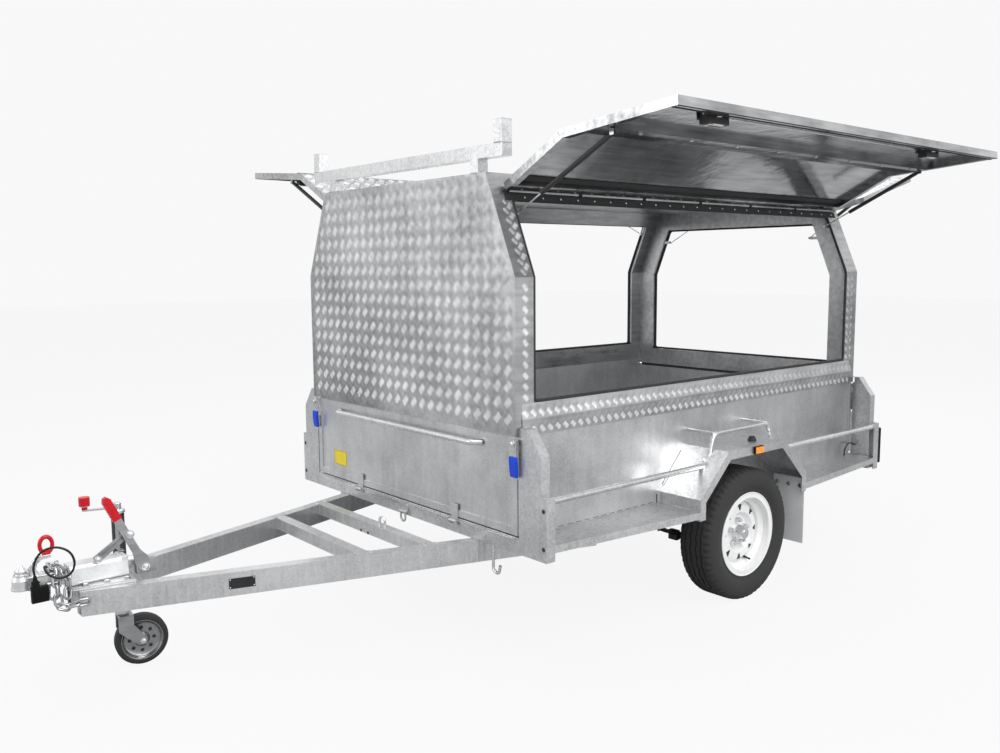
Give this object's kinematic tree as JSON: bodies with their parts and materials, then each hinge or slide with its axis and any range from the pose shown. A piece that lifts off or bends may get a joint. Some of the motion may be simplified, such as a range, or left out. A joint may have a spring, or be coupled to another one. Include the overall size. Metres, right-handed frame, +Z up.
{
  "type": "box trailer",
  "caption": "Galvanised single-axle box trailer with a checker-plate canopy, lift-up side and rear doors on gas struts, drop gates, ladder racks and a jockey wheel.",
  "frame": {"origin": "on the ground, under the middle of the trailer's outer box, with the three canopy doors open as in the picture", "axes": "+X ahead towards the coupling, +Y to the trailer's left, +Z up"},
  "size_m": [4.9604, 3, 2.105],
  "materials": {
    "galvanised_steel": "hot-dip galvanised, faint spangle",
    "checker_plate": "bright five-bar checker plate",
    "tyre_rubber": "matt",
    "black_rubber": "matt",
    "white_enamel": "satin white",
    "silver_enamel": "satin silver",
    "black_enamel": "satin black",
    "bright_steel": "polished",
    "black_plastic": "matt",
    "red_plastic": "satin",
    "pale_plastic": "matt",
    "lamp_lens": "ribbed lens"
  },
  "bodies": {
    "chassis": {"drawbar_rails": "galvanised_steel", "drawbar_crossmembers": "galvanised_steel", "chassis_beams": "galvanised_steel", "gate_hinge_lugs": "galvanised_steel", "chassis_rails": "galvanised_steel", "floor_bearers": "galvanised_steel", "tray_floor": "galvanised_steel", "tray_sides": "galvanised_steel", "corner_plates": "galvanised_steel", "side_steps": "galvanised_steel", "mudguards": "galvanised_steel", "mud_flaps": "pale_plastic", "side_rails": "galvanised_steel", "lamps": "lamp_lens", "lamp_leads": "black_plastic", "axle_beam": "black_enamel", "leaf_springs": "black_enamel", "coupling_body": "silver_enamel", "coupling_head": "silver_enamel", "coupling_trigger": "galvanised_steel", "trigger_loop": "red_plastic", "handbrake_lever": "galvanised_steel", "handbrake_grip": "red_plastic", "safety_chain": "galvanised_steel", "trailer_lead": "black_plastic", "lead_plug": "black_plastic", "rope_hooks": "galvanised_steel", "jockey_tube": "black_enamel", "jockey_crank": "galvanised_steel", "canopy_front_wall": "checker_plate", "canopy_rear_frame": "checker_plate", "canopy_roof": "checker_plate", "canopy_sills": "checker_plate", "canopy_posts": "checker_plate", "door_seals": "black_rubber", "ladder_racks": "galvanised_steel", "door_hinges": "galvanised_steel"},
    "left_wheel": {"tyre_left": "tyre_rubber", "rim_left": "white_enamel"},
    "right_wheel": {"tyre_right": "tyre_rubber", "rim_right": "white_enamel"},
    "jockey_stem": {"jockey_leg": "galvanised_steel"},
    "jockey_castor": {"jockey_fork": "galvanised_steel"},
    "jockey_roller": {"jockey_wheel": "black_rubber"},
    "left_door": {"door_left": "checker_plate", "door_left_locks": "black_enamel"},
    "right_door": {"door_right": "checker_plate", "door_right_locks": "black_enamel"},
    "back_door": {"door_rear": "checker_plate", "door_rear_locks": "black_enamel"},
    "left_cylinders": {"strut_cylinders_left": "black_enamel"},
    "left_rods": {"strut_rods_left": "bright_steel"},
    "right_cylinders": {"strut_cylinders_right": "black_enamel"},
    "right_rods": {"strut_rods_right": "bright_steel"},
    "back_cylinders": {"strut_cylinders_rear": "black_enamel"},
    "back_rods": {"strut_rods_rear": "bright_steel"},
    "front_gate": {"gate_front": "galvanised_steel", "gate_fittings_front": "galvanised_steel"},
    "back_gate": {"gate_rear": "galvanised_steel", "gate_fittings_rear": "galvanised_steel"}
  },
  "joints": [
    {"name": "left_wheel_spin", "type": "hinge", "parent": "chassis", "child": "left_wheel", "pos_m": [-0.393, 0.897, 0.31], "axis": [0, 1, 0], "continuous": true},
    {"name": "right_wheel_spin", "type": "hinge", "parent": "chassis", "child": "right_wheel", "pos_m": [-0.393, -0.897, 0.31], "axis": [0, 1, 0], "continuous": true},
    {"name": "jockey_raise", "type": "slide", "parent": "chassis", "child": "jockey_stem", "axis": [0, 0, 1], "range_m": [-0.1, 0.06]},
    {"name": "jockey_swivel", "type": "hinge", "parent": "jockey_stem", "child": "jockey_castor", "pos_m": [2.055, -0.19794, 0.2], "axis": [0, 0, 1], "continuous": true},
    {"name": "jockey_roll", "type": "hinge", "parent": "jockey_castor", "child": "jockey_roller", "pos_m": [1.9936, -0.18931, 0.1], "axis": [-0.1392, -0.9903, 0], "continuous": true},
    {"name": "front_gate_drop", "type": "hinge", "parent": "chassis", "child": "front_gate", "pos_m": [0.867, 0, 0.485], "axis": [0, 1, 0], "range_deg": [0, 90]},
    {"name": "back_gate_drop", "type": "hinge", "parent": "chassis", "child": "back_gate", "pos_m": [-1.653, 0, 0.485], "axis": [0, -1, 0], "range_deg": [0, 90]},
    {"name": "left_door_lift", "type": "hinge", "parent": "chassis", "child": "left_door", "pos_m": [-0.395, 0.65783, 1.84387], "axis": [1, 0, 0], "range_deg": [-94.9, 0]},
    {"name": "right_door_lift", "type": "hinge", "parent": "chassis", "child": "right_door", "pos_m": [-0.395, -0.65783, 1.84387], "axis": [-1, 0, 0], "range_deg": [-94.9, 0]},
    {"name": "back_door_lift", "type": "hinge", "parent": "chassis", "child": "back_door", "pos_m": [-1.639, 0, 1.83], "axis": [0, 1, 0], "range_deg": [-105, 0]},
    {"name": "left_strut_tilt", "type": "hinge", "parent": "left_door", "child": "left_cylinders", "pos_m": [-0.395, 1.16944, 2.00934], "axis": [1, 0, 0], "range_deg": [-6.6, 0.1]},
    {"name": "left_strut_slide", "type": "slide", "parent": "left_cylinders", "child": "left_rods", "axis": [0, -0.8957, -0.4446], "range_m": [-0.115, 0.001]},
    {"name": "right_strut_tilt", "type": "hinge", "parent": "right_door", "child": "right_cylinders", "pos_m": [-0.395, -1.16944, 2.00934], "axis": [-1, 0, 0], "range_deg": [-6.6, 0.1]},
    {"name": "right_strut_slide", "type": "slide", "parent": "right_cylinders", "child": "right_rods", "axis": [0, 0.8957, -0.4446], "range_m": [-0.115, 0.001]},
    {"name": "back_strut_tilt", "type": "hinge", "parent": "back_door", "child": "back_cylinders", "pos_m": [-2.1556, 0, 1.94979], "axis": [0, 1, 0], "range_deg": [-8.3, 0.1]},
    {"name": "back_strut_slide", "type": "slide", "parent": "back_cylinders", "child": "back_rods", "axis": [0.909, 0, -0.4169], "range_m": [-0.2, 0.001]}
  ],
  "couplings": [
    {"joint": "left_strut_tilt", "follows": "left_door_lift", "ratio": 0.068206},
    {"joint": "left_strut_slide", "follows": "left_door_lift", "m_per_rad": 0.068943},
    {"joint": "right_strut_tilt", "follows": "right_door_lift", "ratio": 0.068206},
    {"joint": "right_strut_slide", "follows": "right_door_lift", "m_per_rad": 0.068943},
    {"joint": "back_strut_tilt", "follows": "back_door_lift", "ratio": 0.078162},
    {"joint": "back_strut_slide", "follows": "back_door_lift", "m_per_rad": 0.1086}
  ]
}
